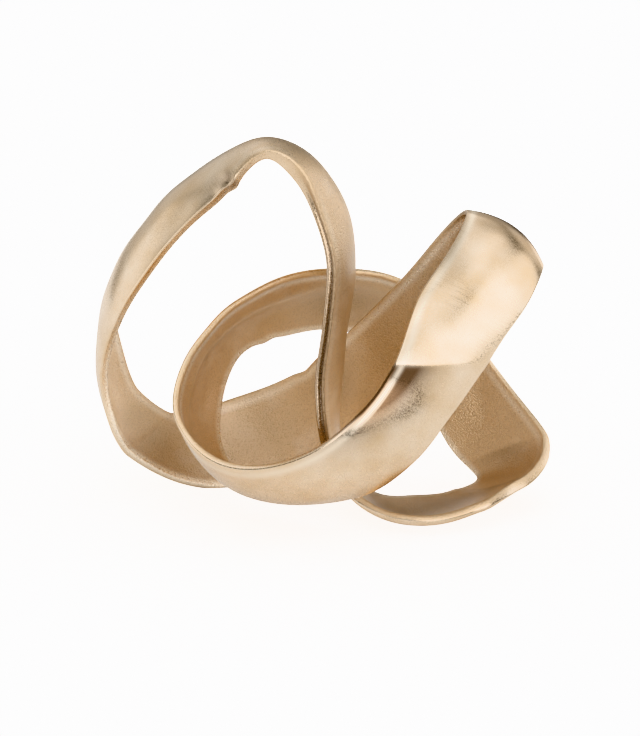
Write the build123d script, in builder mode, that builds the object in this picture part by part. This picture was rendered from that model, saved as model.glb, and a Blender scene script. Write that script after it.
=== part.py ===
from build123d import *
import os
import numpy as np

os.makedirs("parts", exist_ok=True)

# A free-standing knot made from ONE closed metal band, bent round four times and joined end to end.
# The band is cast in short curved lengths that are welded into one run, then dressed smooth.
# Frame: mm, +Z up, X across the front, Y away from the front, origin under the middle on the ground.

# ---- driving dimensions -------------------------------------------------------------------------
WELD = 3.0                 # length of each dressed weld between two castings, along the band
RIM_ROUND = 0.30           # how far the rounded rim stands out, as a share of the band's thickness
SECTION_PITCH = 8.0        # largest distance between two sections of a casting, along the band
GRIND_DEPTH = 20.0         # depth of the block that the ground flats are cut with
GRIND_SPAN = 300.0         # width and length of that block
CENTRE_X = 0.4             # moves the footprint's middle to the origin
CENTRE_Y = 0.9
STAND_Z = 0.0              # height of the stations above the ground flats

# Stations along the band.  Each one says where the band's two rims are, how far the middle of the
# strip stands out of the straight line between them (crown) and how thick the strip is.
# The band has one twist too many to have two rims: after one turn the first rim has become the
# second one, so the crown changes its sign between the last station and the first.
STATIONS = [
    ("arch top",          (-25, -3, 170), (-26, 39, 165), -4.5, 4.8),
    ("arch shoulder",     (-41, -2, 156), (-47, 41, 158), -5.5, 5.2),
    ("arch high left",    (-60, 0, 138), (-71, 43, 140), -6.5, 4.6),
    ("arch left",         (-80, 3, 114), (-90, 46, 115), -6.5, 4.4),
    ("arch waist",        (-95, 6, 90), (-102, 49, 86), -6.5, 4.2),
    ("arch low left",     (-103, 9, 66), (-99, 49, 62), -6.5, 4.0),
    ("heel",              (-101, 9, 39), (-91, 45, 43), -5.0, 4.0),
    ("heel crease",       (-92, 10, 22), (-80, 42, 34), -1.5, 4.0),
    ("cradle left",       (-73, 16, 6), (-68, 40, 32), -2.5, 4.0),
    ("cradle middle",     (-47, 20, 0), (-50, 42, 37), -3.0, 4.0),
    ("cradle right",      (-19, 26, 4), (-30, 42, 44), -3.0, 4.0),
    ("strap low",         (11, 18, 26), (-5, 36, 59), -3.0, 3.6),
    ("strap middle",      (37, 13, 51), (19, 29, 83), -4.0, 3.2),
    ("strap high",        (65, 3, 80), (43, 19, 112), -5.0, 3.0),
    ("fold back",         (90, -1, 105), (60, 13, 134), -6.0, 3.0),
    ("fold",              (101, -8, 119), (67, 5, 141), -6.5, 3.0),
    ("fold front",        (97, -19, 110), (62, -6, 131), -6.0, 3.0),
    ("front high",        (83, -29, 91), (44, -22, 107), -4.0, 3.2),
    ("front crease",      (69, -34, 70), (36, -37, 90), -2.5, 3.2),
    ("front low",         (49, -40, 43), (22, -51.5, 69), -3.0, 3.2),
    ("belly right",       (24, -42, 22), (2, -60, 51), -4.0, 3.2),
    ("belly",             (-5, -35, 13), (-23, -60, 40), -5.0, 3.4),
    ("belly left",        (-34, -19, 15), (-50, -53, 41), -5.0, 4.0),
    ("ring front left",   (-47, -8, 30), (-64, -42, 53), -5.0, 3.2),
    ("ring left",         (-48, 10, 48), (-65, -25, 72), -5.0, 3.2),
    ("ring high left",    (-40, 28, 65), (-51, -4, 90), -5.0, 3.4),
    ("ring back left",    (-21, 43, 70), (-28, 15, 103), -5.0, 3.6),
    ("ring back",         (4, 54, 71.5), (4, 29, 108), -4.0, 3.6),
    ("ring back right",   (31, 59, 66.5), (36, 36, 101), -3.0, 3.4),
    ("back drop",         (48, 53, 45), (61, 39, 85), -2.0, 3.4),
    ("tail top",          (61, 39, 18), (85, 36, 56), -2.0, 3.6),
    ("tail",              (70, 32, 8), (100, 21, 39), -2.0, 3.8),
    ("tail corner",       (76, 23, 4), (108, 4, 27), -2.0, 4.6),
    ("base right",        (72, 13, 2), (96, -21, 18), -2.0, 5.0),
    ("base front right",  (58, 3, 2), (71, -38, 11), -2.5, 5.0),
    ("base front",        (40, -4, 3), (45, -47, 8), -2.5, 5.0),
    ("base left",         (23, -1, 5), (24, -40, 11), -1.0, 4.6),
    ("leg foot",          (9, 5, 19), (8, -32, 23), 1.0, 4.6),
    ("leg low",           (4.5, 9, 41), (0, -31, 47), 3.0, 5.0),
    ("leg middle",        (6.5, 14, 63), (-1, -26, 71), 4.0, 5.0),
    ("leg high",          (10.5, 20, 88), (2, -22, 96), 4.0, 5.0),
    ("leg shoulder",      (11.5, 26, 117), (3, -16, 123), 5.0, 5.0),
    ("leg bend",          (4, 33, 144), (-4, -10, 148), 5.5, 5.6),
    ("arch right",        (-12, 37, 159), (-14, -5, 164), 5.0, 7.4),
]

# ---- the band as a smooth closed run ------------------------------------------------------------
COUNT = len(STATIONS)
NAMES = [station[0] for station in STATIONS]
RIM_A = np.array([station[1] for station in STATIONS], float)
RIM_B = np.array([station[2] for station in STATIONS], float)
CROWN = np.array([station[3] for station in STATIONS], float)
THICK = np.array([station[4] for station in STATIONS], float)
FRAME_SHIFT = np.array([CENTRE_X, CENTRE_Y, STAND_Z])

MIDDLES = (RIM_A + RIM_B) / 2
STEPS = np.linalg.norm(np.roll(MIDDLES, -1, axis=0) - MIDDLES, axis=1)
LENGTH = float(STEPS.sum())                                  # once round the band
PLACES = np.concatenate([[0.0], np.cumsum(STEPS)[:-1]])      # each station's distance along it


def slopes(steps, values):
    """Slopes at the knots of the smoothest closed cubic run through the values."""
    n = len(values)
    before = np.roll(steps, 1)
    grid = np.zeros((n, n))
    rows = np.arange(n)
    grid[rows, rows] = 2 * (before + steps)
    grid[rows, (rows - 1) % n] = steps
    grid[rows, (rows + 1) % n] = before
    rise = (np.roll(values, -1, axis=0) - values) / steps[:, None]
    right = 3 * (steps[:, None] * np.roll(rise, 1, axis=0) + before[:, None] * rise)
    return np.linalg.solve(grid, right)


def run_value(steps, values, knot_slopes, place):
    """Value and slope of the closed cubic run at one distance along it."""
    n = len(values)
    ends = np.cumsum(steps)
    place = place % float(ends[-1])
    i = min(int(np.searchsorted(ends, place, side="right")), n - 1)
    h = steps[i]
    s = (place - (ends[i] - h)) / h
    a, b = values[i], values[(i + 1) % n]
    da, db = knot_slopes[i] * h, knot_slopes[(i + 1) % n] * h
    value = (1 + 2 * s) * (1 - s) ** 2 * a + s * (1 - s) ** 2 * da
    value = value + s * s * (3 - 2 * s) * b + s * s * (s - 1) * db
    slope = 6 * s * (s - 1) * (a - b) + (1 - s) * (1 - 3 * s) * da + s * (3 * s - 2) * db
    return value, slope / h


# The rim is one curve that passes every station twice: first as rim A, then as rim B.
RIM = np.vstack([RIM_A, RIM_B])
RIM_STEPS = np.concatenate([STEPS, STEPS])
RIM_SLOPES = slopes(RIM_STEPS, RIM)
CROWN_RUN = np.concatenate([CROWN, -CROWN])[:, None]
CROWN_SLOPES = slopes(RIM_STEPS, CROWN_RUN)
THICK_RUN = THICK[:, None]
THICK_SLOPES = slopes(STEPS, THICK_RUN)


def section(place):
    """Cross-section plane and sizes of the band at one distance along it."""
    a, slope_a = run_value(RIM_STEPS, RIM, RIM_SLOPES, place)
    b, slope_b = run_value(RIM_STEPS, RIM, RIM_SLOPES, place + LENGTH)
    across = b - a
    width = float(np.linalg.norm(across))
    across = across / width
    along = slope_a + slope_b
    along = along - across * float(along @ across)
    middle = (a + b) / 2 + FRAME_SHIFT
    plane = Plane(origin=tuple(middle), x_dir=tuple(across), z_dir=tuple(along))
    crown = float(run_value(RIM_STEPS, CROWN_RUN, CROWN_SLOPES, place)[0][0])
    thick = float(run_value(STEPS, THICK_RUN, THICK_SLOPES, place)[0][0])
    return plane, width, crown, thick


def strip_outline(width, crown, thick):
    """Points of a crowned strip: along both faces, and the middles of its two rounded rims."""
    half = width / 2 - RIM_ROUND * thick
    upper, lower = [], []
    for k in (-1.0, -0.5, 0.0, 0.5, 1.0):
        lean = np.arctan(-2 * crown * k / half)
        x, y = k * half, crown * (1 - k * k)
        dx, dy = -np.sin(lean) * thick / 2, np.cos(lean) * thick / 2
        upper.append((x + dx, y + dy))
        lower.append((x - dx, y - dy))
    tilt = np.arctan(2 * crown / half)
    out_x, out_y = RIM_ROUND * thick * np.cos(tilt), RIM_ROUND * thick * np.sin(tilt)
    return upper, lower, (-half - out_x, -out_y), (half + out_x, -out_y)


def band_sections(start, stop):
    """Cross-section faces along one length of band, ready to be lofted."""
    pieces = max(2, int(np.ceil((stop - start) / SECTION_PITCH)))
    faces = []
    for k in range(pieces + 1):
        plane, width, crown, thick = section(start + (stop - start) * k / pieces)
        with BuildSketch(plane) as outline:
            with BuildLine():
                upper, lower, near, far = strip_outline(width, crown, thick)
                Spline(*upper)
                ThreePointArc(upper[-1], far, lower[-1])
                Spline(*reversed(lower))
                ThreePointArc(lower[0], near, upper[0])
            make_face()
        faces.append(outline.sketch.face())
    return faces


def casting(first, last):
    """Sections of the casting between two named joints, short of the welds at both ends."""
    start = PLACES[NAMES.index(first)] + WELD / 2
    stop = PLACES[NAMES.index(last)] - WELD / 2
    if stop < start:
        stop = stop + LENGTH
    return band_sections(start, stop)


def weld(joint):
    """Sections of the dressed weld at one named joint."""
    place = PLACES[NAMES.index(joint)]
    return band_sections(place - WELD / 2, place + WELD / 2)


def grind_flat():
    """Cuts away everything below the ground, which leaves the flats the object stands on."""
    with Locations((0, 0, -GRIND_DEPTH / 2)):
        Box(GRIND_SPAN, GRIND_SPAN, GRIND_DEPTH, mode=Mode.SUBTRACT)


# ---- the castings, in order along the band ------------------------------------------------------
with BuildPart() as arch_top:
    loft(casting("leg bend", "arch shoulder"))
arch_top.part.label = "arch_top"
export_step(arch_top.part, "parts/arch_top.step")

with BuildPart() as arch_left:
    loft(casting("arch shoulder", "arch waist"))
arch_left.part.label = "arch_left"
export_step(arch_left.part, "parts/arch_left.step")

with BuildPart() as arch_heel:
    loft(casting("arch waist", "heel crease"))
arch_heel.part.label = "arch_heel"
export_step(arch_heel.part, "parts/arch_heel.step")

with BuildPart() as cradle_strap:
    loft(casting("heel crease", "cradle right"))
    grind_flat()
cradle_strap.part.label = "cradle_strap"
export_step(cradle_strap.part, "parts/cradle_strap.step")

with BuildPart() as rising_strap:
    loft(casting("cradle right", "strap high"))
    grind_flat()
rising_strap.part.label = "rising_strap"
export_step(rising_strap.part, "parts/rising_strap.step")

with BuildPart() as fold_bend:
    loft(casting("strap high", "fold front"))
fold_bend.part.label = "fold_bend"
export_step(fold_bend.part, "parts/fold_bend.step")

with BuildPart() as front_face:
    loft(casting("fold front", "front crease"))
front_face.part.label = "front_face"
export_step(front_face.part, "parts/front_face.step")

with BuildPart() as front_belly:
    loft(casting("front crease", "belly"))
front_belly.part.label = "front_belly"
export_step(front_belly.part, "parts/front_belly.step")

with BuildPart() as ring_left:
    loft(casting("belly", "ring left"))
ring_left.part.label = "ring_left"
export_step(ring_left.part, "parts/ring_left.step")

with BuildPart() as ring_back:
    loft(casting("ring left", "ring back"))
ring_back.part.label = "ring_back"
export_step(ring_back.part, "parts/ring_back.step")

with BuildPart() as back_drop:
    loft(casting("ring back", "tail top"))
back_drop.part.label = "back_drop"
export_step(back_drop.part, "parts/back_drop.step")

with BuildPart() as tail_corner:
    loft(casting("tail top", "base right"))
    grind_flat()
tail_corner.part.label = "tail_corner"
export_step(tail_corner.part, "parts/tail_corner.step")

with BuildPart() as base_strap:
    loft(casting("base right", "base left"))
    grind_flat()
base_strap.part.label = "base_strap"
export_step(base_strap.part, "parts/base_strap.step")

with BuildPart() as leg_lower:
    loft(casting("base left", "leg middle"))
leg_lower.part.label = "leg_lower"
export_step(leg_lower.part, "parts/leg_lower.step")

with BuildPart() as leg_upper:
    loft(casting("leg middle", "leg bend"))
leg_upper.part.label = "leg_upper"
export_step(leg_upper.part, "parts/leg_upper.step")

# ---- the dressed welds between them -------------------------------------------------------------
with BuildPart() as weld_arch_shoulder:
    loft(weld("arch shoulder"))
weld_arch_shoulder.part.label = "weld_arch_shoulder"
export_step(weld_arch_shoulder.part, "parts/weld_arch_shoulder.step")

with BuildPart() as weld_arch_waist:
    loft(weld("arch waist"))
weld_arch_waist.part.label = "weld_arch_waist"
export_step(weld_arch_waist.part, "parts/weld_arch_waist.step")

with BuildPart() as weld_heel_crease:
    loft(weld("heel crease"))
weld_heel_crease.part.label = "weld_heel_crease"
export_step(weld_heel_crease.part, "parts/weld_heel_crease.step")

with BuildPart() as weld_cradle:
    loft(weld("cradle right"))
    grind_flat()
weld_cradle.part.label = "weld_cradle"
export_step(weld_cradle.part, "parts/weld_cradle.step")

with BuildPart() as weld_strap_high:
    loft(weld("strap high"))
weld_strap_high.part.label = "weld_strap_high"
export_step(weld_strap_high.part, "parts/weld_strap_high.step")

with BuildPart() as weld_fold_front:
    loft(weld("fold front"))
weld_fold_front.part.label = "weld_fold_front"
export_step(weld_fold_front.part, "parts/weld_fold_front.step")

with BuildPart() as weld_front_crease:
    loft(weld("front crease"))
weld_front_crease.part.label = "weld_front_crease"
export_step(weld_front_crease.part, "parts/weld_front_crease.step")

with BuildPart() as weld_belly:
    loft(weld("belly"))
weld_belly.part.label = "weld_belly"
export_step(weld_belly.part, "parts/weld_belly.step")

with BuildPart() as weld_ring_left:
    loft(weld("ring left"))
weld_ring_left.part.label = "weld_ring_left"
export_step(weld_ring_left.part, "parts/weld_ring_left.step")

with BuildPart() as weld_ring_back:
    loft(weld("ring back"))
weld_ring_back.part.label = "weld_ring_back"
export_step(weld_ring_back.part, "parts/weld_ring_back.step")

with BuildPart() as weld_tail_top:
    loft(weld("tail top"))
weld_tail_top.part.label = "weld_tail_top"
export_step(weld_tail_top.part, "parts/weld_tail_top.step")

with BuildPart() as weld_base_right:
    loft(weld("base right"))
    grind_flat()
weld_base_right.part.label = "weld_base_right"
export_step(weld_base_right.part, "parts/weld_base_right.step")

with BuildPart() as weld_base_left:
    loft(weld("base left"))
weld_base_left.part.label = "weld_base_left"
export_step(weld_base_left.part, "parts/weld_base_left.step")

with BuildPart() as weld_leg_middle:
    loft(weld("leg middle"))
weld_leg_middle.part.label = "weld_leg_middle"
export_step(weld_leg_middle.part, "parts/weld_leg_middle.step")

with BuildPart() as weld_leg_bend:
    loft(weld("leg bend"))
weld_leg_bend.part.label = "weld_leg_bend"
export_step(weld_leg_bend.part, "parts/weld_leg_bend.step")
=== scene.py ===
import math

import bpy
import numpy as np
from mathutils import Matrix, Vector


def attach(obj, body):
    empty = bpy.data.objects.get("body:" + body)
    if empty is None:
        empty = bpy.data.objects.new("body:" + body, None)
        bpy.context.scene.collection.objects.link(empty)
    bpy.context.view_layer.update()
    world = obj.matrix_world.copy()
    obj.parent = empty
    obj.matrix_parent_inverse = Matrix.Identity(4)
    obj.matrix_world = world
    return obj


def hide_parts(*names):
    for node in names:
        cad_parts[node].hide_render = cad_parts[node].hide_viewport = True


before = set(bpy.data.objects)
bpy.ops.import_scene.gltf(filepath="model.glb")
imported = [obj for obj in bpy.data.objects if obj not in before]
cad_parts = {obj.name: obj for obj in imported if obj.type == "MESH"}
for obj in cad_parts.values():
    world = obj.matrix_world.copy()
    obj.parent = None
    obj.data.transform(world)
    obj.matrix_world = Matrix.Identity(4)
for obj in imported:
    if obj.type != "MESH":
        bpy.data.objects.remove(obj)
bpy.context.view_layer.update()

bl_info = {
    "name": "Cast Band Knot",
    "version": (1, 0, 0),
    "blender": (4, 5, 0),
    "location": "3D View > Sidebar > Band Knot",
    "description": "A free-standing knot: one closed band of cast metal, its welds and a plain stage",
    "category": "Object",
}

BODY = "root"                  # the whole knot is one rigid body
MM = 0.001                     # stations and sizes below are in millimetres, Blender is in metres

# ---- the studio ---------------------------------------------------------------------------------
FLOOR_REACH = 6.0              # half the floor's side, in metres

# Soft panels round the knot: turn from the front (positive to the right), height above the
# horizon and how far from its middle the panel reaches, all in degrees, and its brightness.
PANELS = [
    (20, 22, 26, 3.2), (12, 55, 30, 0.95), (-42, 54, 30, 0.65), (56, 27, 26, 1.5),
    (90, 14, 30, 0.1), (129, 8, 22, 1.6), (110, 39, 30, 0.9), (180, 48, 36, 0.5),
    (-150, 22, 30, 0.5), (-110, 10, 26, 0.9), (-64, 4, 30, 1.3), (-120, 55, 30, 0.35),
    (0, 0, 20, 0.25), (-110, 88, 32, 0.65),
]
PANEL_CORE = 0.35              # share of the reach that has the panel's full brightness
ROOM_GLOW = 0.18               # brightness of the room between the panels
WARM_LIGHT = 0.25              # at this brightness the room's light has the walls' own colour
WHITE_LIGHT = 1.3              # and from this brightness on it has the panels' colour
PLAIN_WHITE = (1.0, 1.0, 1.0)  # the sky's own colour where the camera sees it

# ---- the band's run -----------------------------------------------------------------------------
# Each station gives where the two rims are, how far the middle of the strip stands out of the
# straight line between them and how thick the strip is.  The band is one-sided: after one turn
# rim A has become rim B, so the crown changes its sign between the last station and the first.
STATIONS = [
    ("arch top",          (-25, -3, 170), (-26, 39, 165), -4.5, 4.8),
    ("arch shoulder",     (-41, -2, 156), (-47, 41, 158), -5.5, 5.2),
    ("arch high left",    (-60, 0, 138), (-71, 43, 140), -6.5, 4.6),
    ("arch left",         (-80, 3, 114), (-90, 46, 115), -6.5, 4.4),
    ("arch waist",        (-95, 6, 90), (-102, 49, 86), -6.5, 4.2),
    ("arch low left",     (-103, 9, 66), (-99, 49, 62), -6.5, 4.0),
    ("heel",              (-101, 9, 39), (-91, 45, 43), -5.0, 4.0),
    ("heel crease",       (-92, 10, 22), (-80, 42, 34), -1.5, 4.0),
    ("cradle left",       (-73, 16, 6), (-68, 40, 32), -2.5, 4.0),
    ("cradle middle",     (-47, 20, 0), (-50, 42, 37), -3.0, 4.0),
    ("cradle right",      (-19, 26, 4), (-30, 42, 44), -3.0, 4.0),
    ("strap low",         (11, 18, 26), (-5, 36, 59), -3.0, 3.6),
    ("strap middle",      (37, 13, 51), (19, 29, 83), -4.0, 3.2),
    ("strap high",        (65, 3, 80), (43, 19, 112), -5.0, 3.0),
    ("fold back",         (90, -1, 105), (60, 13, 134), -6.0, 3.0),
    ("fold",              (101, -8, 119), (67, 5, 141), -6.5, 3.0),
    ("fold front",        (97, -19, 110), (62, -6, 131), -6.0, 3.0),
    ("front high",        (83, -29, 91), (44, -22, 107), -4.0, 3.2),
    ("front crease",      (69, -34, 70), (36, -37, 90), -2.5, 3.2),
    ("front low",         (49, -40, 43), (22, -51.5, 69), -3.0, 3.2),
    ("belly right",       (24, -42, 22), (2, -60, 51), -4.0, 3.2),
    ("belly",             (-5, -35, 13), (-23, -60, 40), -5.0, 3.4),
    ("belly left",        (-34, -19, 15), (-50, -53, 41), -5.0, 4.0),
    ("ring front left",   (-47, -8, 30), (-64, -42, 53), -5.0, 3.2),
    ("ring left",         (-48, 10, 48), (-65, -25, 72), -5.0, 3.2),
    ("ring high left",    (-40, 28, 65), (-51, -4, 90), -5.0, 3.4),
    ("ring back left",    (-21, 43, 70), (-28, 15, 103), -5.0, 3.6),
    ("ring back",         (4, 54, 71.5), (4, 29, 108), -4.0, 3.6),
    ("ring back right",   (31, 59, 66.5), (36, 36, 101), -3.0, 3.4),
    ("back drop",         (48, 53, 45), (61, 39, 85), -2.0, 3.4),
    ("tail top",          (61, 39, 18), (85, 36, 56), -2.0, 3.6),
    ("tail",              (70, 32, 8), (100, 21, 39), -2.0, 3.8),
    ("tail corner",       (76, 23, 4), (108, 4, 27), -2.0, 4.6),
    ("base right",        (72, 13, 2), (96, -21, 18), -2.0, 5.0),
    ("base front right",  (58, 3, 2), (71, -38, 11), -2.5, 5.0),
    ("base front",        (40, -4, 3), (45, -47, 8), -2.5, 5.0),
    ("base left",         (23, -1, 5), (24, -40, 11), -1.0, 4.6),
    ("leg foot",          (9, 5, 19), (8, -32, 23), 1.0, 4.6),
    ("leg low",           (4.5, 9, 41), (0, -31, 47), 3.0, 5.0),
    ("leg middle",        (6.5, 14, 63), (-1, -26, 71), 4.0, 5.0),
    ("leg high",          (10.5, 20, 88), (2, -22, 96), 4.0, 5.0),
    ("leg shoulder",      (11.5, 26, 117), (3, -16, 123), 5.0, 5.0),
    ("leg bend",          (4, 33, 144), (-4, -10, 148), 5.5, 5.6),
    ("arch right",        (-12, 37, 159), (-14, -5, 164), 5.0, 7.4),
]
FRAME_SHIFT = np.array([0.4, 0.9, 0.0])      # from the stations' frame to the part's frame
WELD = 3.0                                   # length of each dressed weld, along the band
GROUND = 0.0                                 # height that the resting flats are ground to

# Castings in order along the band: name, the joint it starts at and the joint it ends at.
CASTINGS = [
    ("arch_top", "leg bend", "arch shoulder"),
    ("arch_left", "arch shoulder", "arch waist"),
    ("arch_heel", "arch waist", "heel crease"),
    ("cradle_strap", "heel crease", "cradle right"),
    ("rising_strap", "cradle right", "strap high"),
    ("fold_bend", "strap high", "fold front"),
    ("front_face", "fold front", "front crease"),
    ("front_belly", "front crease", "belly"),
    ("ring_left", "belly", "ring left"),
    ("ring_back", "ring left", "ring back"),
    ("back_drop", "ring back", "tail top"),
    ("tail_corner", "tail top", "base right"),
    ("base_strap", "base right", "base left"),
    ("leg_lower", "base left", "leg middle"),
    ("leg_upper", "leg middle", "leg bend"),
]
WELDS = [
    ("weld_arch_shoulder", "arch shoulder"),
    ("weld_arch_waist", "arch waist"),
    ("weld_heel_crease", "heel crease"),
    ("weld_cradle", "cradle right"),
    ("weld_strap_high", "strap high"),
    ("weld_fold_front", "fold front"),
    ("weld_front_crease", "front crease"),
    ("weld_belly", "belly"),
    ("weld_ring_left", "ring left"),
    ("weld_ring_back", "ring back"),
    ("weld_tail_top", "tail top"),
    ("weld_base_right", "base right"),
    ("weld_base_left", "base left"),
    ("weld_leg_middle", "leg middle"),
    ("weld_leg_bend", "leg bend"),
]

COUNT = len(STATIONS)
NAMES = [station[0] for station in STATIONS]
RIM_A = np.array([station[1] for station in STATIONS], float)
RIM_B = np.array([station[2] for station in STATIONS], float)
CROWN = np.array([station[3] for station in STATIONS], float)
THICK = np.array([station[4] for station in STATIONS], float)
MIDDLES = (RIM_A + RIM_B) / 2
STEPS = np.linalg.norm(np.roll(MIDDLES, -1, axis=0) - MIDDLES, axis=1)
LENGTH = float(STEPS.sum())
PLACES = np.concatenate([[0.0], np.cumsum(STEPS)[:-1]])


def place_of(name):
    """Distance along the band, in millimetres, of a named station."""
    return float(PLACES[NAMES.index(name)])


def slopes(steps, values):
    """Slopes at the knots of the smoothest closed cubic run through the values: the ones that
    let the curvature run on through every knot, from one set of linear equations."""
    n = len(values)
    before = np.roll(steps, 1)
    grid = np.zeros((n, n))
    rows = np.arange(n)
    grid[rows, rows] = 2 * (before + steps)
    grid[rows, (rows - 1) % n] = steps
    grid[rows, (rows + 1) % n] = before
    rise = (np.roll(values, -1, axis=0) - values) / steps[:, None]
    right = 3 * (steps[:, None] * np.roll(rise, 1, axis=0) + before[:, None] * rise)
    return np.linalg.solve(grid, right)


def run_values(steps, values, knot_slopes, places):
    """Values and slopes of the closed cubic run at an array of distances.

    Between two knots the run is the cubic that has both knots' values and slopes."""
    ends = np.cumsum(steps)
    places = np.mod(places, ends[-1])
    i = np.minimum(np.searchsorted(ends, places, side="right"), len(values) - 1)
    j = (i + 1) % len(values)
    h = steps[i]
    s = ((places - (ends[i] - h)) / h)[:, None]
    h = h[:, None]
    a, b = values[i], values[j]
    da, db = knot_slopes[i] * h, knot_slopes[j] * h
    value = (1 + 2 * s) * (1 - s) ** 2 * a + s * (1 - s) ** 2 * da
    value = value + s * s * (3 - 2 * s) * b + s * s * (s - 1) * db
    slope = 6 * s * (s - 1) * (a - b) + (1 - s) * (1 - 3 * s) * da + s * (3 * s - 2) * db
    return value, slope / h


RIM = np.vstack([RIM_A, RIM_B])
RIM_STEPS = np.concatenate([STEPS, STEPS])
RIM_SLOPES = slopes(RIM_STEPS, RIM)
CROWN_RUN = np.concatenate([CROWN, -CROWN])[:, None]
CROWN_SLOPES = slopes(RIM_STEPS, CROWN_RUN)
THICK_RUN = THICK[:, None]
THICK_SLOPES = slopes(STEPS, THICK_RUN)

# Depth of the groove that is folded into rim B of the leg, in millimetres.
GROOVES = {"leg foot": 0.5, "leg low": 1.3, "leg middle": 1.7, "leg high": 1.7,
           "leg shoulder": 1.4, "leg bend": 0.7}
GROOVE_RUN = np.array([0.0] * COUNT + [GROOVES.get(name, 0.0) for name in NAMES])[:, None]
GROOVE_SLOPES = slopes(RIM_STEPS, GROOVE_RUN)

# How round the edges are at each station, as a share of the thickness.
SQUARE_EDGE = 0.17
FULL_ROUND = 0.5
ROUND_EDGES = {"fold front": 0.26, "front high": 0.32, "front crease": 0.34, "front low": 0.34,
               "belly right": 0.34, "belly": 0.34, "belly left": 0.34, "ring front left": 0.34,
               "ring left": 0.36, "ring high left": 0.44, "ring back left": 0.46, "ring back": 0.44,
               "ring back right": 0.36, "base front right": 0.4, "base front": 0.48,
               "base left": 0.46, "cradle left": 0.3, "cradle middle": 0.36, "cradle right": 0.3}
EDGE_RUN = np.array([ROUND_EDGES.get(name, SQUARE_EDGE) for name in NAMES])[:, None]
EDGE_SLOPES = slopes(STEPS, EDGE_RUN)

# ---- the strip's cross-section ------------------------------------------------------------------
FACE_POINTS = 44               # grid lines across each broad face
CORNER_POINTS = 5              # grid lines round each of the four rounded edges
RIM_POINTS = 10                # grid lines across each rim, an even number
GROOVE_MIDDLE = 0.15           # where the rim groove is deepest, from -1 to 1 through the wall
GROOVE_REACH = 0.8             # half the groove's width, on the same scale
PITCH = 0.7                    # distance between grid columns along the band, in millimetres
NUDGE = 0.2                    # step used to measure the surface's slope, in millimetres


def profile():
    """Points round the strip, one to a row: across from -1 at rim A to 1 at rim B, through from
    -1 on one face to 1 on the other, the two parts of the corner's turn, and the groove's share.

    Two straight faces joined by a rim at each end; the corners between are quarter circles,
    given as the corner's centre plus a turning unit vector, both scaled by the edge radius.  The
    rim groove is a squared cosine across the rim."""
    faces = np.linspace(-1, 1, FACE_POINTS)
    turn = np.linspace(0, math.pi / 2, CORNER_POINTS + 2)[1:-1]
    rim = np.linspace(-1, 1, RIM_POINTS)
    inset = np.cos(math.pi / 2 * np.clip((-rim - GROOVE_MIDDLE) / GROOVE_REACH, -1, 1)) ** 2
    level = 0 * faces
    top = np.stack([faces, level + 1, level, level + 1, level], 1)
    flat = 0 * turn
    corner_1 = np.stack([flat + 1, flat + 1, np.sin(turn), np.cos(turn), flat], 1)
    side_b = np.stack([0 * rim + 1, -rim, 0 * rim + 1, 0 * rim, -inset], 1)
    corner_2 = np.stack([flat + 1, flat - 1, np.cos(turn), -np.sin(turn), flat], 1)
    half = np.concatenate([top, corner_1, side_b, corner_2])
    return np.concatenate([half, -half])


PROFILE = profile()


def strip_points(places):
    """Grid of points, places by profile points, in millimetres.

    The strip's middle line is a parabola over the straight line between the rims.  A profile
    point stands off that line, square to it, by half the thickness.  The relief is added square
    to the middle line too, the same way on both faces, so that the wall keeps its thickness, and
    the rim nicks are added across the strip."""
    rim_a, slope_a = run_values(RIM_STEPS, RIM, RIM_SLOPES, places)
    rim_b, slope_b = run_values(RIM_STEPS, RIM, RIM_SLOPES, places + LENGTH)
    across = rim_b - rim_a
    width = np.linalg.norm(across, axis=1, keepdims=True)
    across = across / width
    along = slope_a + slope_b
    along = along - across * np.sum(along * across, axis=1, keepdims=True)
    along = along / np.linalg.norm(along, axis=1, keepdims=True)
    out = np.cross(along, across)
    middle = (rim_a + rim_b) / 2 + FRAME_SHIFT
    crown = run_values(RIM_STEPS, CROWN_RUN, CROWN_SLOPES, places)[0]
    thick = run_values(STEPS, THICK_RUN, THICK_SLOPES, places)[0]
    half = width / 2
    edge = run_values(STEPS, EDGE_RUN, EDGE_SLOPES, places)[0]
    radius = np.clip(edge, SQUARE_EDGE, FULL_ROUND) * thick
    groove_a = run_values(RIM_STEPS, GROOVE_RUN, GROOVE_SLOPES, places)[0]
    groove_b = run_values(RIM_STEPS, GROOVE_RUN, GROOVE_SLOPES, places + LENGTH)[0]
    groove = np.maximum(np.where(PROFILE[:, 0] > 0, groove_b, groove_a), 0)
    x = (half - radius) * PROFILE[:, 0] + radius * PROFILE[:, 2] + groove * PROFILE[:, 4]
    y = (thick / 2 - radius) * PROFILE[:, 1] + radius * PROFILE[:, 3]
    k = x / half
    rise = crown * (1 - k * k)
    lean = np.arctan(-2 * crown * k / half)
    across = across[:, None]
    out = out[:, None]
    square = -np.sin(lean)[:, :, None] * across + np.cos(lean)[:, :, None] * out
    points = middle[:, None] + x[:, :, None] * across + rise[:, :, None] * out
    height = y + relief_height(points, places, x, half)
    points = points + height[:, :, None] * square
    return points + nick_move(places, x, half)[:, :, None] * across


# ---- hand-worked unevenness and painted shade ---------------------------------------------------
SWELL_HEIGHT = 0.30            # how far the broad hammered swells stand out, in millimetres
SWELL_SHORT = 26.0             # shortest and longest swell, in millimetres
SWELL_LONG = 60.0
SWELL_WAVES = 14
SWELL_SEED = 5
SWAP_REACH = 26.0              # half the stretch over which the two faces change over


def swell_table():
    """Directions, lengths and starts of the plane waves that add up to the swells."""
    random = np.random.default_rng(SWELL_SEED)
    ways = random.normal(size=(SWELL_WAVES, 3))
    ways = ways / np.linalg.norm(ways, axis=1, keepdims=True)
    lengths = random.uniform(SWELL_SHORT, SWELL_LONG, SWELL_WAVES)
    starts = random.uniform(0, 2 * math.pi, SWELL_WAVES)
    return ways * (2 * math.pi / lengths)[:, None], starts


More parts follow.
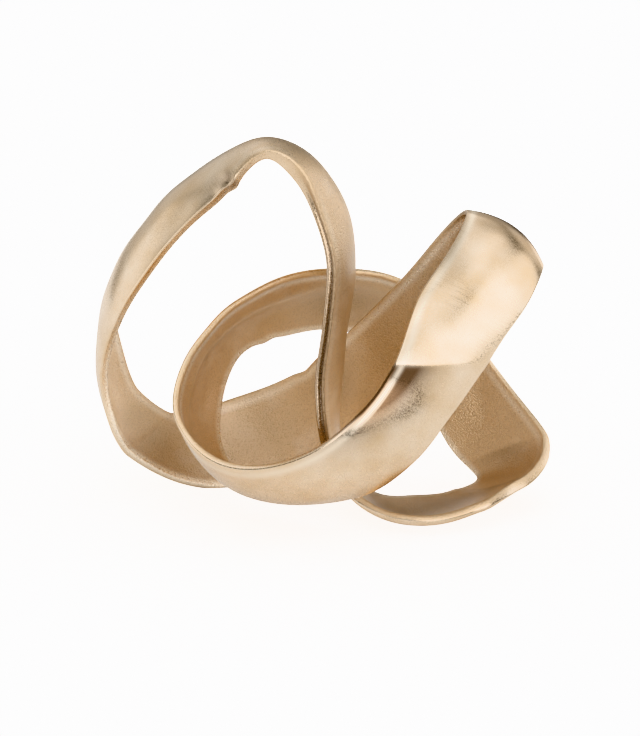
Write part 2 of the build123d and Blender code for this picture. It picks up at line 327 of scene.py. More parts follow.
SWELL_WAYS, SWELL_STARTS = swell_table()


def turn_sign(places):
    """Which way round the strip's faces are, from -1 to 1: it goes through 0 at the arch top,
    where the faces change over, as a smooth step of the distance from there."""
    wrapped = np.mod(places, LENGTH)
    share = np.clip(np.minimum(wrapped, LENGTH - wrapped) / SWAP_REACH, 0, 1)
    share = share * share * (3 - 2 * share)
    return np.where(np.mod(places, 2 * LENGTH) < LENGTH, share, -share)


# Dents and bumps worked into the strip: station, offset along from it, place across from -1 at
# rim A to 1 at rim B, reach along, reach across and height, in millimetres.  Heights in these
# tables are positive where the metal stands out on the crowned side.
DENTS = [
    ("front crease", 8, -0.3, 9, 5, -0.4),
    ("front high", -4, 0.35, 12, 9, -0.35),
    ("front high", 8, -0.2, 10, 10, 0.3),
    ("front low", 10, -0.2, 14, 8, 0.5),
    ("belly", -6, 0.1, 16, 9, -0.4),
    ("arch shoulder", 0, -1.0, 2.4, 2.2, -0.9),
    ("arch shoulder", 5, -1.0, 4.0, 3.0, 0.5),
    ("arch shoulder", -9, -0.9, 7, 4, 0.4),
    ("arch high left", 0, -0.7, 12, 6, -0.7),
    ("arch left", 0, 0.3, 14, 8, 0.5),
    ("arch waist", 0, -0.2, 12, 10, -0.5),
    ("ring left", -2, 0.45, 20, 6, -2.0),
    ("ring high left", 4, 0.35, 22, 7.5, -3.2),
    ("ring back left", 6, 0.35, 20, 7.5, -2.9),
    ("ring back", 6, 0.5, 24, 6, -1.7),
    ("ring left", -6, -0.5, 10, 5, 1.0),
    ("ring back left", -6, -0.6, 8, 6, 0.8),
    ("tail", -8, 0.2, 12, 10, 0.6),
    ("tail corner", 0, 0.1, 8, 10, -0.6),
    ("tail top", 4, 0.3, 7, 8, 0.7),
    ("leg bend", -8, 0.1, 9, 6, 0.7),
    ("leg high", 0, 0.2, 12, 6, -0.5),
    ("strap middle", 0, 0.0, 14, 9, -0.6),
]
# Creases square to the strip or slanting over it: station, offset, slant (how much further along
# the crease is at rim B than at the middle), height, reach and how far its crest is softened.
CREASES = [
    ("heel crease", 3.5, 4.4, 1.7, 10.0, 0.7),
    ("tail", 5.8, 5.4, 1.4, 9.0, 1.2),
    ("front crease", 0.6, 10.3, 0.9, 9.0, 1.0),
    ("base right", 10.0, -6.0, -0.9, 7.0, 1.0),
]
# Rims rolled back past a slanting line: station, offset, slant, side (1 is rim B), width of the
# roll, drop at the rim, length of the roll and how sharply it sets in.
ROLLS = [
    ("ring left", -24.0, 0.0, 1, 12.0, -1.2, 40.0, 6.0),
]
# Dips that start at a crease and level out further on: station, offset, slant, side (1 where it is
# deepest at rim B), share of the depth at the other rim, slope at the crease, distance to the
# deepest point and how far the crease is softened.
DIPS = [
    ("front crease", 0.6, 10.3, 1, 0.3, 0.42, 19.0, 1.0),
]
# Places where a rim is nicked (negative) or stands proud: station, offset, side, reach, move.
NICKS = [
    ("arch shoulder", -1, -1, 3.0, 1.5),
    ("arch shoulder", 8, -1, 7.0, -0.5),
    ("strap low", -6, 1, 5.0, -1.2),
    ("strap low", 7, 1, 5.0, 0.9),
    ("ring back left", -11, -1, 4.5, 1.3),
    ("ring back left", -3, -1, 4.0, -0.9),
    ("base front right", -5, 1, 4.0, 1.8),
    ("base right", 8, 1, 5.0, -1.2),
    ("ring back", 12, -1, 12.0, 4.0),
    ("front low", 0, 1, 18.0, -1.4),
    ("heel", -2, 1, 5.0, -0.7),
    ("tail corner", 1, 1, 5.0, -0.8),
    ("base front", -4, -1, 6.0, 0.7),
]
# Painted shade, a darker brown where the strip faces away from the light past a crease: station,
# offset, slant, place across, length along, breadth across, in millimetres, and how strong it is,
# where more than 1 makes it full over a wider stretch.  It starts at a line over the strip and
# fades away from it.
SHADE_LINES = [
    ("front crease", 0.6, 10.3, 1.15, 36.0, 14.0, 2.0),
    ("heel crease", 3.5, 4.4, 0.0, 14.0, 22.0, 0.12),
    ("tail", 5.8, 5.4, -0.1, 12.0, 14.0, 0.35),
    ("arch shoulder", -2.5, 0.0, -0.9, 7.0, 4.0, 0.60),
    ("base right", 4.0, -6.0, 0.0, 26.0, 16.0, 0.30),
]
# Broad stretches of the same painted shade, where hollows and faces turned from the light look
# dark: station, offset, place across, length along, breadth across, in millimetres, and how
# strong it is.
SHADES = [
    ("cradle middle", 0, 0.0, 45, 26, 0.36),
    ("ring back", 6, -0.2, 20, 14, 0.34),
    ("leg shoulder", -4, 0.0, 16, 26, 0.20),
    ("strap high", 6, 0.0, 18, 20, 0.22),
    ("base front", -4, 0.0, 34, 18, 0.32),
    ("strap middle", 4, 0.2, 16, 14, 0.15),
    ("strap low", 8, 0.3, 14, 12, 0.30),
    ("fold", -6, 0.0, 13, 30, 0.6),
]
SHADE_ONSET = 1.0               # how sharply a painted shade starts at its line, in millimetres
SHADE_CLEAR = 1.8               # how quickly the painted shade gives way to the rubbed rim
GROOVE_SHADE = 0.95             # painted shade at the bottom of the rim groove
LIP_SHADE = 0.6                 # and painted shade on the two lips beside it
NICK_LIMIT = 1.2               # place across beyond which a nick moves the metal no further


def past(places, name, offset):
    """Signed distance past a point of the band, and the turn of the strip: 1, or -1 once the
    second circuit has turned it over."""
    start = place_of(name) + offset
    gap = np.mod(places - start + LENGTH / 2, LENGTH) - LENGTH / 2
    turn = np.where(np.mod(places, 2 * LENGTH) < LENGTH, 1.0, -1.0)
    return gap[:, None], turn[:, None]


def crowned_side(name, turn):
    """1 or -1: the side of the strip that its crown stands out on at a station."""
    return turn * np.sign(CROWN[NAMES.index(name)])


def relief_height(points, places, x, half):
    """Height of the hand-worked relief at each point, along the strip's outward direction.

    Swells are sine waves in space, added up.  A dent is a bell curve both ways.  A crease is a
    ridge that falls off as the exponential of the distance from its line, with a rounded crest.
    A roll is a square-law drop towards one rim, switched on past its line by a smooth step.  A
    dip is the distance past its line times an exponential that falls with it, deepest at one
    rim."""
    phase = points @ SWELL_WAYS.T + SWELL_STARTS
    total = SWELL_HEIGHT * np.sin(phase).sum(axis=2) / math.sqrt(SWELL_WAVES / 2)
    total = total * turn_sign(places)[:, None]
    for name, offset, share, reach, breadth, height in DENTS:
        gap, turn = past(places, name, offset)
        side = (turn * x - share * half) / breadth
        dent = height * np.exp(-(gap / reach) ** 2 - side ** 2)
        total = total + crowned_side(name, turn) * dent
    for name, offset, slant, height, reach, soft in CREASES:
        gap, turn = past(places, name, offset)
        gap = gap - slant * turn * x / half
        ridge = height * np.exp(-np.sqrt(gap ** 2 + soft ** 2) / reach)
        total = total + crowned_side(name, turn) * ridge
    for name, offset, slant, rim_side, width, drop, length, soft in ROLLS:
        gap, turn = past(places, name, offset)
        gap = gap - slant * turn * x / half
        inwards = np.clip(1 - (half - rim_side * turn * x) / width, 0, 1)
        onset = 0.5 + 0.5 * np.tanh(gap / soft)
        fade = np.exp(-(np.maximum(gap, 0) / length) ** 2)
        total = total - crowned_side(name, turn) * drop * inwards ** 2 * onset * fade
    for name, offset, slant, rim_side, least, steep, length, soft in DIPS:
        gap, turn = past(places, name, offset)
        gap = gap - slant * turn * x / half
        gap = (gap + np.sqrt(gap ** 2 + soft ** 2)) / 2
        share = np.clip((1 + rim_side * turn * x / half) / 2, 0, 1)
        share = least + (1 - least) * share * share * (3 - 2 * share)
        dip = steep * share * gap * np.exp(-gap / length)
        total = total - crowned_side(name, turn) * dip
    return total


def painted_shade_strength(places, x, half):
    """Strength of the painted brown shade, from 0 to 1.

    Each line of shade is a bell curve along the band and one across it, times a smooth step past
    its line, and the strongest counts.  A broad shade is such a pair of bell curves without a line,
    and takes its share of what is left unshaded."""
    total = 0 * x
    for name, offset, slant, share, length, breadth, strength in SHADE_LINES:
        gap, turn = past(places, name, offset)
        gap = gap - slant * turn * x / half
        onset = 0.5 + 0.5 * np.tanh(gap / SHADE_ONSET)
        fade = np.exp(-(gap / length) ** 2 - ((turn * x - share * half) / breadth) ** 2)
        total = np.maximum(total, np.minimum(strength * fade, 1) * onset)
    for name, offset, share, length, breadth, strength in SHADES:
        gap, turn = past(places, name, offset)
        fade = np.exp(-(gap / length) ** 2 - ((turn * x - share * half) / breadth) ** 2)
        total = total + strength * fade * (1 - total)
    return total


def nick_move(places, x, half):
    """How far each point moves across the strip for the rim's nicks: a bell curve along the
    band, fading in with the square of the place across."""
    total = 0 * x
    for name, offset, rim_side, reach, move in NICKS:
        gap, turn = past(places, name, offset)
        share = np.clip(rim_side * turn * x / half, 0, NICK_LIMIT)
        total = total + rim_side * turn * move * share ** 2 * np.exp(-(gap / reach) ** 2)
    return total


# ---- meshes -------------------------------------------------------------------------------------
WEAR_START = 1.5               # distance from the rim's middle to where its brightness fades
WEAR_REACH = 1.3               # and how fast it fades, in millimetres


def surface_normals(places):
    """Points and unit normals, square to the surface's slopes along the band and round it."""
    along = strip_points(places + NUDGE) - strip_points(places - NUDGE)
    points = strip_points(places)
    round_it = np.roll(points, -1, axis=1) - np.roll(points, 1, axis=1)
    normals = np.cross(round_it, along)
    return points, normals / np.linalg.norm(normals, axis=2, keepdims=True)


def band_fields(places, points):
    """Rim wear, grain and painted shade at each grid point, each from 0 to 1, and how far along
    and across the band the point is, in metres.

    Wear falls off as the exponential of the distance to the nearer rim.  Grain is 1 on the face
    that the casting sand marked and 0 on the dressed face; round the arch top the faces swap.
    The painted shade gives way to the wear, except the painted shade in the rim groove and on its
    lips."""
    half = points.shape[1] // 2
    far_rim = half + CORNER_POINTS
    rim_a = (points[:, :1] + points[:, -1:]) / 2
    rim_b = (points[:, FACE_POINTS - 1:FACE_POINTS] + points[:, far_rim:far_rim + 1]) / 2
    from_a = np.linalg.norm(points - rim_a, axis=2)
    from_b = np.linalg.norm(points - rim_b, axis=2)
    wear = np.exp(-np.maximum(np.minimum(from_a, from_b) - WEAR_START, 0) / WEAR_REACH)
    grain = 0.5 + 0.5 * turn_sign(places)[:, None] * PROFILE[None, :, 1]
    half_width = np.linalg.norm(rim_b - rim_a, axis=2) / 2
    # Painted shade: brown where creases and hollows turn the strip away from the light.
    tone = painted_shade_strength(places, PROFILE[None, :, 0] * half_width, half_width)
    tone = tone * np.minimum(SHADE_CLEAR * (1 - wear), 1)
    # Painted shade in the leg's rim groove and on its lips, where the groove lies in shadow.
    groove = run_values(RIM_STEPS, GROOVE_RUN, GROOVE_SLOPES, places + LENGTH)[0]
    groove = np.clip(groove / max(GROOVES.values()), 0, 1)
    rim_groove_shade = np.maximum(-GROOVE_SHADE * PROFILE[:, 4], LIP_SHADE * (PROFILE[:, 2] > 0))
    tone = np.maximum(tone, groove * np.maximum(rim_groove_shade, 0))
    along = np.repeat(places[:, None], points.shape[1], axis=1) * MM
    across = from_a * MM
    return {"wear": wear, "grain": grain, "painted_shade_brown": tone, "along": along, "across": across}


def band_mesh(name, start, stop):
    """Closed mesh of one length of band: a tube of quads and a flat cap at each end.

    The caps have their own vertices, so the light breaks at the joint and not before it.  What
    would reach below the ground is cut off flat."""
    columns = max(3, int(round((stop - start) / PITCH)) + 1)
    places = np.linspace(start, stop, columns)
    points, normals = surface_normals(places)
    fields = band_fields(places, points)
    points[:, :, 2] = np.maximum(points[:, :, 2], GROUND)
    rows = points.shape[1]
    i = np.arange(columns - 1)[:, None]
    j = np.arange(rows)[None, :]
    corner = i * rows + j
    beside = i * rows + (j + 1) % rows
    tube = np.stack([corner, beside, beside + rows, corner + rows], axis=2).reshape(-1, 4)
    first_cap, last_cap = columns * rows, columns * rows + rows
    half = rows // 2
    rim_middle = half + FACE_POINTS + CORNER_POINTS + RIM_POINTS // 2
    line = (rim_middle + np.arange(half)) % rows
    mirror = (rim_middle - 1 - np.arange(half)) % rows
    cap = np.stack([line[:-1], mirror[:-1], mirror[1:], line[1:]], axis=1)
    caps = np.concatenate([cap + first_cap, cap[:, ::-1] + last_cap])
    vertices = np.concatenate([points.reshape(-1, 3), points[0], points[-1]]) * MM
    mesh = bpy.data.meshes.new(name)
    mesh.from_pydata(vertices.tolist(), [], np.concatenate([tube, caps]).tolist())
    mesh.update()
    mesh.shade_smooth()
    facing = np.zeros((len(vertices), 3))
    facing[:first_cap] = normals.reshape(-1, 3)
    facing[first_cap:last_cap] = np.mean(points[0] - points[1], axis=0)
    facing[last_cap:] = np.mean(points[-1] - points[-2], axis=0)
    facing = facing / np.linalg.norm(facing, axis=1, keepdims=True)
    mesh.normals_split_custom_set_from_vertices(facing.tolist())
    ends = np.zeros(2 * rows)
    for label, field in fields.items():
        layer = mesh.attributes.new(label, "FLOAT", "POINT")
        layer.data.foreach_set("value", np.concatenate([field.ravel(), ends]).astype(np.float32))
    return mesh


def band_piece(name, start, stop, material):
    """One shown piece of the band, which stands for the CAD node of the same name."""
    mesh = band_mesh(name + "_shown", start, stop)
    mesh.materials.append(material)
    piece = bpy.data.objects.new(name + "_shown", mesh)
    bpy.context.scene.collection.objects.link(piece)
    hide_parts(name)
    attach(piece, BODY)


# ---- materials ----------------------------------------------------------------------------------
COAT_SHARE = 0.35              # share of clear coat over the metal, and how rough the coat is
COAT_ROUGHNESS = 0.25
CLOUD_SCALE = 55.0             # clouds of tone to the metre, and the part of the noise they use
CLOUD_LOW = 0.3
CLOUD_HIGH = 0.7
RUB_START = 0.2                # wear at which a rim starts to look rubbed
RUB_MOST = 0.8                 # share of the rim tone where it is most rubbed, the paleness partly a painted highlight
RUB_SHINE = -0.1               # change of roughness where it is most rubbed
SAND_SCALE = 1300.0            # grains to the metre
SAND_RELIEF = 0.0005           # depth of the grain, in metres
SPECKLE_LOW = 0.35             # part of the grain's noise that changes the roughness
SPECKLE_HIGH = 0.65
SPECKLE = 0.08                 # and how much it changes it, either way
PIT_DEEP = 0.34                # grain noise at the bottom of a pit and at its edge
PIT_EDGE = 0.50
FILE_FINE = 500.0              # file marks to the metre, counted along the band
FILE_LONG = 70.0               # and across it, which makes each mark long and narrow
FILE_TURN = 0.18               # slant of the marks, in radians
FILE_RELIEF = 0.0005           # depth of the marks, in metres
PATCH_SCALE = 38.0             # patches of marks to the metre, and the part of the noise they use
PATCH_LOW = 0.48
PATCH_HIGH = 0.66


def node(tree, kind, x, y, **inputs):
    """A shader node at (x, y) with some of its sockets set, by name with _ for a space."""
    made = tree.nodes.new(kind)
    made.location = (x, y)
    for key, value in inputs.items():
        made.inputs[key.replace("_", " ")].default_value = value
    return made


def ramp(tree, x, y, low, high, dark, light):
    """Map Range node from low..high to dark..light, clamped."""
    made = tree.nodes.new("ShaderNodeMapRange")
    made.location = (x, y)
    made.inputs["From Min"].default_value = low
    made.inputs["From Max"].default_value = high
    made.inputs["To Min"].default_value = dark
    made.inputs["To Max"].default_value = light
    return made


def ramped(tree, source, x, y, *limits):
    """Output of a Map Range node, from and to the four limits, fed by a socket."""
    made = ramp(tree, x, y, *limits)
    tree.links.new(source, made.inputs["Value"])
    return made.outputs["Result"]


def field(tree, label, y):
    """Output of one of the mesh's own fields."""
    made = node(tree, "ShaderNodeAttribute", -900, y)
    made.attribute_name = label
    return made.outputs["Fac"]


def noise(tree, vector, x, y, **inputs):
    """Output of a noise texture on a vector."""
    made = node(tree, "ShaderNodeTexNoise", x, y, **inputs)
    tree.links.new(vector, made.inputs["Vector"])
    return made.outputs["Fac"]


def combined(tree, operation, first, second, x, y):
    """Output of a Math node on two sockets."""
    made = node(tree, "ShaderNodeMath", x, y)
    made.operation = operation
    tree.links.new(first, made.inputs[0])
    tree.links.new(second, made.inputs[1])
    return made.outputs["Value"]


def blended(tree, share, first, second, x, y):
    """Output of a colour mix, from the first colour to the second by share.  Each colour is a
    socket or a plain colour."""
    made = node(tree, "ShaderNodeMix", x, y)
    made.data_type = "RGBA"
    tree.links.new(share, made.inputs["Factor"])
    for socket, colour in ((made.inputs[6], first), (made.inputs[7], second)):
        if isinstance(colour, bpy.types.NodeSocket):
            tree.links.new(colour, socket)
        else:
            socket.default_value = (*colour, 1.0)
    return made.outputs[2]


def metal_tone(tree, settings, place, wear, grain, sand):
    """Colour of the metal: clouds between the deep and the light tone, deeper on the sandy face as a
    painted reflection of the band's own gold, paler on the rubbed rims and partly as a painted
    highlight there, brown in the grain's pits and brown as painted shade in creases and hollows."""
    clouds = noise(tree, place, -600, 200, Scale=CLOUD_SCALE, Detail=3.0, Roughness=0.55)
    light_share = ramped(tree, clouds, -300, 200, CLOUD_LOW, CLOUD_HIGH, 0.0, 1.0)
    deeper = node(tree, "ShaderNodeMath", -100, 300)
    deeper.operation = "MULTIPLY_ADD"
    deeper.use_clamp = True
    # Painted reflection: the sandy face leans to the deep gold of light bounced between the band's
    # faces.
    deeper.inputs[1].default_value = -settings.sand_reflection_depth
    tree.links.new(grain, deeper.inputs[0])
    tree.links.new(light_share, deeper.inputs[2])
    cloudy = blended(tree, deeper.outputs["Value"], settings.tone_deep, settings.tone_light, 200, 300)
    rim_rub_and_highlight_share = ramped(tree, wear, 0, 400, RUB_START, 1.0, 0.0, RUB_MOST)
    # Paler rims: rubbed wear, and partly a painted highlight along the rim.
    rubbed = blended(tree, rim_rub_and_highlight_share, cloudy, settings.rim_wear_and_highlight_tone, 400, 300)
    # Brown of the grain's pits, plus the brown painted shade, both in the same colour.
    pits = ramped(tree, sand, 0, 700, PIT_DEEP, PIT_EDGE, settings.pit_tone, 0.0)
    brown = combined(tree, "MULTIPLY", pits, grain, 100, 750)
    # Painted shade: the brown in creases and hollows where the strip is turned from the light.
    brown = combined(tree, "ADD", brown, field(tree, "painted_shade_brown", 600), 300, 750)
    return blended(tree, brown, rubbed, settings.painted_shade_and_pit_tone, 500, 400)


def metal_roughness(tree, settings, wear, grain, sand):
    """Roughness: rougher on the sandy face, uneven with the grain, smoother on the rims."""
    face = ramped(tree, grain, -300, -100, 0.0, 1.0, settings.rough_dressed, settings.rough_sand)
    speckle = ramped(tree, sand, -300, -300, SPECKLE_LOW, SPECKLE_HIGH, -SPECKLE, SPECKLE)
    rough = combined(tree, "ADD", face, speckle, 0, -150)
    rim = ramped(tree, wear, 0, -350, 0.0, 1.0, 0.0, RUB_SHINE)
    return combined(tree, "ADD", rough, rim, 200, -150)


def metal_relief(tree, settings, place, grain, sand):
    """Bumped normal: patches of long, narrow file marks across the band, and the sandy grain."""
    run = node(tree, "ShaderNodeCombineXYZ", -700, -800)
    tree.links.new(field(tree, "along", -700), run.inputs["X"])
    tree.links.new(field(tree, "across", -900), run.inputs["Y"])
    stretch = node(tree, "ShaderNodeMapping", -500, -800)
    stretch.inputs["Scale"].default_value = (FILE_FINE, FILE_LONG, 1.0)
    stretch.inputs["Rotation"].default_value = (0.0, 0.0, FILE_TURN)
    tree.links.new(run.outputs["Vector"], stretch.inputs["Vector"])
    strokes = noise(tree, stretch.outputs["Vector"], -300, -800, Scale=1.0, Detail=3.0, Roughness=0.6)
    patches = noise(tree, place, -600, -1100, Scale=PATCH_SCALE, Detail=1.0)
    filed = ramped(tree, patches, -300, -1100, PATCH_LOW, PATCH_HIGH,
                   settings.strokes_least, settings.strokes_most)
    scored = node(tree, "ShaderNodeBump", 100, -800, Distance=FILE_RELIEF)
    tree.links.new(strokes, scored.inputs["Height"])
    tree.links.new(filed, scored.inputs["Strength"])
    depth = ramped(tree, grain, 0, -600, 0.0, 1.0, settings.grain_dressed, settings.grain_sand)
    bump = node(tree, "ShaderNodeBump", 300, -500, Distance=SAND_RELIEF)
    tree.links.new(sand, bump.inputs["Height"])
    tree.links.new(depth, bump.inputs["Strength"])
    tree.links.new(scored.outputs["Normal"], bump.inputs["Normal"])
    return bump.outputs["Normal"]


def gold_metal(name, settings):
    """Champagne-gold cast metal: a dressed face and a sandy face, soft clouding of the tone and
    brighter, smoother rims where hands and polishing have rubbed them, their brightness partly a
    painted highlight; the sandy face's deeper gold is a painted reflection and the brown in creases
    and hollows is painted shade."""
    material = bpy.data.materials.new(name)
    material.use_nodes = True
    tree = material.node_tree
    tree.nodes.clear()
    out = node(tree, "ShaderNodeOutputMaterial", 900, 0)
    shader = node(tree, "ShaderNodeBsdfPrincipled", 600, 0, Metallic=1.0,
                  Coat_Weight=COAT_SHARE, Coat_Roughness=COAT_ROUGHNESS)
    tree.links.new(shader.outputs["BSDF"], out.inputs["Surface"])
    place = node(tree, "ShaderNodeTexCoord", -900, 0).outputs["Object"]
    wear = field(tree, "wear", 300)
    grain = field(tree, "grain", -300)
    sand = noise(tree, place, -600, -200, Scale=SAND_SCALE, Detail=2.0, Roughness=0.6)
    tone = metal_tone(tree, settings, place, wear, grain, sand)
    tree.links.new(tone, shader.inputs["Base Color"])
    roughness = metal_roughness(tree, settings, wear, grain, sand)
    tree.links.new(roughness, shader.inputs["Roughness"])
    relief = metal_relief(tree, settings, place, grain, sand)
    tree.links.new(relief, shader.inputs["Normal"])
    return material


# ---- settings -----------------------------------------------------------------------------------
class BandSettings(bpy.types.PropertyGroup):
    """Finish of the castings and welds."""

    tone_light: bpy.props.FloatVectorProperty(
        name="Light tone", description="Colour of the metal where it is palest",
        subtype="COLOR", size=3, min=0.0, max=1.0, default=(0.93, 0.76, 0.57))
    tone_deep: bpy.props.FloatVectorProperty(
        name="Deep tone", description="Colour of the metal where the gold is deepest",
        subtype="COLOR", size=3, min=0.0, max=1.0, default=(0.81, 0.60, 0.38))
    # How far the sandy face's colour takes on a painted reflection of the band's own gold.
    sand_reflection_depth: bpy.props.FloatProperty(
        name="Sand reflection depth", description="How far the sandy face leans to the deep tone",
        min=0.0, max=1.0, default=0.6)
    # Colour of the rims: rubbed wear, and partly a painted highlight of the rim's edge.
    rim_wear_and_highlight_tone: bpy.props.FloatVectorProperty(
        name="Rim tone", description="Colour of the rubbed rims",
        subtype="COLOR", size=3, min=0.0, max=1.0, default=(1.0, 0.88, 0.71))
    # Brown of the painted shade in creases, hollows and the rim groove, also used in the grain's
    # pits.
    painted_shade_and_pit_tone: bpy.props.FloatVectorProperty(
        name="Shade and pit tone", description="Brown tone in the creases and grooves",
        subtype="COLOR", size=3, min=0.0, max=1.0, default=(0.16, 0.092, 0.047))
    pit_tone: bpy.props.FloatProperty(
        name="Pit tone", description="How much of the settled tone the pits of the grain hold",
        min=0.0, max=1.0, default=0.17)
    rough_dressed: bpy.props.FloatProperty(
        name="Dressed roughness", description="Roughness of the filed and brushed face",
        min=0.0, max=1.0, default=0.24)
    rough_sand: bpy.props.FloatProperty(
        name="Sand roughness", description="Roughness of the face that keeps its casting grain",
        min=0.0, max=1.0, default=0.42)
    strokes_least: bpy.props.FloatProperty(
        name="Least file marks", description="Strength of the file marks where they are faintest",
        min=0.0, max=1.0, default=0.03)
    strokes_most: bpy.props.FloatProperty(
        name="Most file marks", description="Strength of the file marks where they are deepest",
        min=0.0, max=1.0, default=0.18)
    grain_dressed: bpy.props.FloatProperty(
        name="Dressed grain", description="Strength of the grain left on the dressed face",
        min=0.0, max=1.0, default=0.02)
    grain_sand: bpy.props.FloatProperty(
        name="Sand grain", description="Strength of the casting grain",
        min=0.0, max=1.0, default=0.9)


class StageSettings(bpy.types.PropertyGroup):
    """Floor, lights and camera."""

    floor_tone: bpy.props.FloatVectorProperty(
        name="Floor", description="Colour of the floor",
        subtype="COLOR", size=3, min=0.0, max=1.0, default=(0.9, 0.9, 0.9))
    floor_glare: bpy.props.FloatProperty(
        name="Floor glare", description="How brightly the floor returns its light to the camera",
        min=0.0, default=2.0)
    floor_shine: bpy.props.FloatProperty(
        name="Floor shine", description="White added to the floor where the camera sees it",
        min=0.0, default=2.0)
    floor_lift: bpy.props.FloatProperty(
        name="Floor lift", description="Light that the floor adds to what it returns",
        min=0.0, default=0.10)
    sky_glare: bpy.props.FloatProperty(
        name="Sky glare", description="How bright the camera sees the sky", min=0.0, default=9.0)
    room_tone: bpy.props.FloatVectorProperty(
        name="Room tone", description="Colour of the light from the walls between the panels",
        subtype="COLOR", size=3, min=0.0, default=(1.0, 0.97, 0.90))
    panel_tone: bpy.props.FloatVectorProperty(
        name="Panel tone", description="Colour of the light from the panels",
        subtype="COLOR", size=3, min=0.0, default=(0.99, 1.0, 1.04))
    light: bpy.props.FloatProperty(
        name="Panels", description="Brightness that scales the soft panels and the room's glow",
        min=0.0, default=0.95)
    camera_distance: bpy.props.FloatProperty(
        name="Camera distance", description="From the camera to the point it looks at",
        unit="LENGTH", min=0.1, default=1.1)
    camera_height: bpy.props.FloatProperty(
        name="Camera height", description="Angle of the camera above the horizon",
        subtype="ANGLE", default=math.radians(17.0))
    camera_target: bpy.props.FloatVectorProperty(
        name="Camera target", description="Point that the camera looks at",
        subtype="TRANSLATION", size=3, default=(-0.0006, 0.0189, 0.0619))
    camera_lens: bpy.props.FloatProperty(
        name="Lens", description="Focal length of the camera, in millimetres",
        min=1.0, default=112.1)


# ---- operators ----------------------------------------------------------------------------------
class KNOT_OT_castings(bpy.types.Operator):
    """Make the cast lengths of band between the welds"""

    bl_idname = "knot.castings"
    bl_label = "Castings"

    def execute(self, context):
        """Each casting runs from half a weld after its first joint to half a weld before its last."""
        material = gold_metal("cast_band_finish", context.scene.knot_band)
        for name, first, last in CASTINGS:
            start = place_of(first) + WELD / 2
            stop = place_of(last) - WELD / 2
            if stop < start:
                stop = stop + LENGTH
            band_piece(name, start, stop, material)
        return {"FINISHED"}


class KNOT_OT_welds(bpy.types.Operator):
    """Make the dressed welds that join the castings"""

    bl_idname = "knot.welds"
    bl_label = "Welds"

    def execute(self, context):
        """Each weld is centred on its joint and is dressed flush with the castings beside it."""
        material = gold_metal("weld_bead_finish", context.scene.knot_band)
        for name, joint in WELDS:
            middle = place_of(joint)
            band_piece(name, middle - WELD / 2, middle + WELD / 2, material)
        return {"FINISHED"}


class KNOT_OT_stage(bpy.types.Operator):
    """Make the floor, the lights and the camera"""

    bl_idname = "knot.stage"
    bl_label = "Stage"

    def execute(self, context):
        """A plain pale floor, soft panels all round and a long lens from the front."""
        settings = context.scene.knot_stage
        make_floor(settings)
        make_sky(settings)
        make_camera(context, settings)
        context.scene.view_settings.view_transform = "Khronos PBR Neutral"
        return {"FINISHED"}


def make_floor(settings):
    """A flat square floor that the knot stands on, overexposed where the camera sees it."""
    mesh = bpy.data.meshes.new("floor")
    corners = np.array([[-1, -1, 0], [1, -1, 0], [1, 1, 0], [-1, 1, 0]]) * FLOOR_REACH
    mesh.from_pydata(corners.tolist(), [], [(0, 1, 2, 3)])
    material = bpy.data.materials.new("floor_finish")
    material.use_nodes = True
    tree = material.node_tree
    tree.nodes.clear()
    out = node(tree, "ShaderNodeOutputMaterial", 600, 0)
    matt = node(tree, "ShaderNodeBsdfDiffuse", 400, 0)
    camera_ray = node(tree, "ShaderNodeLightPath", -200, 100).outputs["Is Camera Ray"]
    glare = (settings.floor_glare,) * 3
    seen = blended(tree, camera_ray, settings.floor_tone, glare, 200, 0)
    tree.links.new(seen, matt.inputs["Color"])
    shine = node(tree, "ShaderNodeMath", 200, -200)
    shine.operation = "MULTIPLY_ADD"
    shine.inputs[1].default_value = settings.floor_shine
    shine.inputs[2].default_value = settings.floor_lift
    tree.links.new(camera_ray, shine.inputs[0])
    white = node(tree, "ShaderNodeEmission", 400, -200)
    tree.links.new(shine.outputs["Value"], white.inputs["Strength"])
    both = node(tree, "ShaderNodeAddShader", 500, 0)
    tree.links.new(matt.outputs["BSDF"], both.inputs[0])
    tree.links.new(white.outputs["Emission"], both.inputs[1])
    tree.links.new(both.outputs["Shader"], out.inputs["Surface"])
    mesh.materials.append(material)
    floor = bpy.data.objects.new("floor", mesh)
    bpy.context.scene.collection.objects.link(floor)


def panel_light(tree, place, panel, strength, y):
    """Brightness of one soft panel in the direction looked at: a smooth step of the cosine of
    the angle to the panel's middle."""
    turn, height, reach = (math.radians(angle) for angle in panel[:3])
    brightness = panel[3] * strength
    facing = node(tree, "ShaderNodeVectorMath", -200, y)
    facing.operation = "DOT_PRODUCT"
    facing.inputs[1].default_value = (
        math.sin(turn) * math.cos(height), -math.cos(turn) * math.cos(height), math.sin(height))
    tree.links.new(place.outputs["Generated"], facing.inputs[0])
    step = ramp(tree, 0, y, math.cos(reach), math.cos(PANEL_CORE * reach), 0.0, brightness)
    step.interpolation_type = "SMOOTHSTEP"
    tree.links.new(facing.outputs["Value"], step.inputs["Value"])
    return step.outputs["Result"]


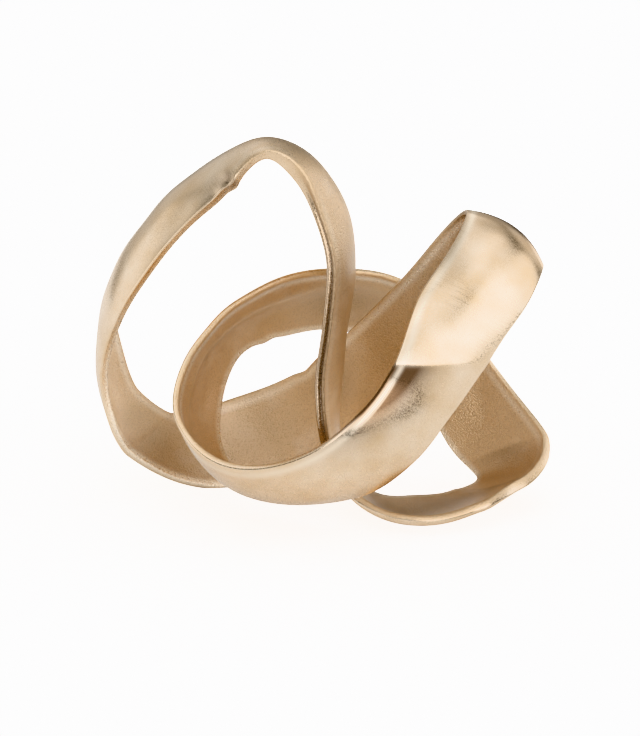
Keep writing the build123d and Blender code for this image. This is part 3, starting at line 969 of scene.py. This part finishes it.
def make_sky(settings):
    """A dim room hung with soft panels, the sum of their lights and the walls' glow; the camera
    sees it as plain white."""
    world = bpy.data.worlds.new("sky")
    bpy.context.scene.world = world
    world.use_nodes = True
    tree = world.node_tree
    tree.nodes.clear()
    out = node(tree, "ShaderNodeOutputWorld", 1000, 0)
    glow = node(tree, "ShaderNodeBackground", 800, 0)
    place = node(tree, "ShaderNodeTexCoord", -400, 0)
    room = node(tree, "ShaderNodeValue", 0, 200)
    room.outputs["Value"].default_value = ROOM_GLOW * settings.light
    total = room.outputs["Value"]
    for i, panel in enumerate(PANELS):
        y = -200 * i
        light = panel_light(tree, place, panel, settings.light, y)
        total = combined(tree, "ADD", total, light, 200, y)
    camera_ray = node(tree, "ShaderNodeLightPath", 400, 300).outputs["Is Camera Ray"]
    white_share = ramped(tree, total, 400, 600, WARM_LIGHT, WHITE_LIGHT, 0.0, 1.0)
    tint = blended(tree, white_share, settings.room_tone, settings.panel_tone, 600, 500)
    tree.links.new(blended(tree, camera_ray, tint, PLAIN_WHITE, 800, 500), glow.inputs["Color"])
    seen = node(tree, "ShaderNodeMix", 600, 100)
    seen.inputs["B"].default_value = settings.sky_glare
    tree.links.new(total, seen.inputs["A"])
    tree.links.new(camera_ray, seen.inputs["Factor"])
    tree.links.new(seen.outputs["Result"], glow.inputs["Strength"])
    tree.links.new(glow.outputs["Background"], out.inputs["Surface"])


def make_camera(context, settings):
    """A long lens in front of the knot, a little above the horizon."""
    data = bpy.data.cameras.new("camera")
    data.lens = settings.camera_lens
    data.sensor_width = 36.0
    camera = bpy.data.objects.new("camera", data)
    angle = settings.camera_height
    back = Vector((0.0, -math.cos(angle), math.sin(angle)))
    camera.location = Vector(settings.camera_target) + back * settings.camera_distance
    camera.rotation_mode = "QUATERNION"
    camera.rotation_quaternion = (-back).to_track_quat("-Z", "Y")
    context.scene.collection.objects.link(camera)
    context.scene.camera = camera


# ---- panel and registration ---------------------------------------------------------------------
class KNOT_PT_panel(bpy.types.Panel):
    """Lists the knot's operators and settings"""

    bl_label = "Band Knot"
    bl_idname = "KNOT_PT_panel"
    bl_space_type = "VIEW_3D"
    bl_region_type = "UI"
    bl_category = "Band Knot"

    def draw(self, context):
        """One button for each operator, then every setting."""
        layout = self.layout
        for operator in OPERATORS:
            layout.operator(operator.bl_idname)
        for settings in (context.scene.knot_band, context.scene.knot_stage):
            box = layout.box()
            for key in settings.__annotations__:
                box.prop(settings, key)


OPERATORS = (KNOT_OT_castings, KNOT_OT_welds, KNOT_OT_stage)
CLASSES = (BandSettings, StageSettings, *OPERATORS, KNOT_PT_panel)


def register():
    """Registers the classes and hangs the settings on the scene."""
    for item in CLASSES:
        bpy.utils.register_class(item)
    bpy.types.Scene.knot_band = bpy.props.PointerProperty(type=BandSettings)
    bpy.types.Scene.knot_stage = bpy.props.PointerProperty(type=StageSettings)


def unregister():
    """Takes the settings off the scene and unregisters the classes."""
    del bpy.types.Scene.knot_stage
    del bpy.types.Scene.knot_band
    for item in reversed(CLASSES):
        bpy.utils.unregister_class(item)


def main():
    """Makes the whole knot and its stage."""
    register()
    bpy.ops.knot.castings()
    bpy.ops.knot.welds()
    bpy.ops.knot.stage()


if __name__ == "__main__":
    main()
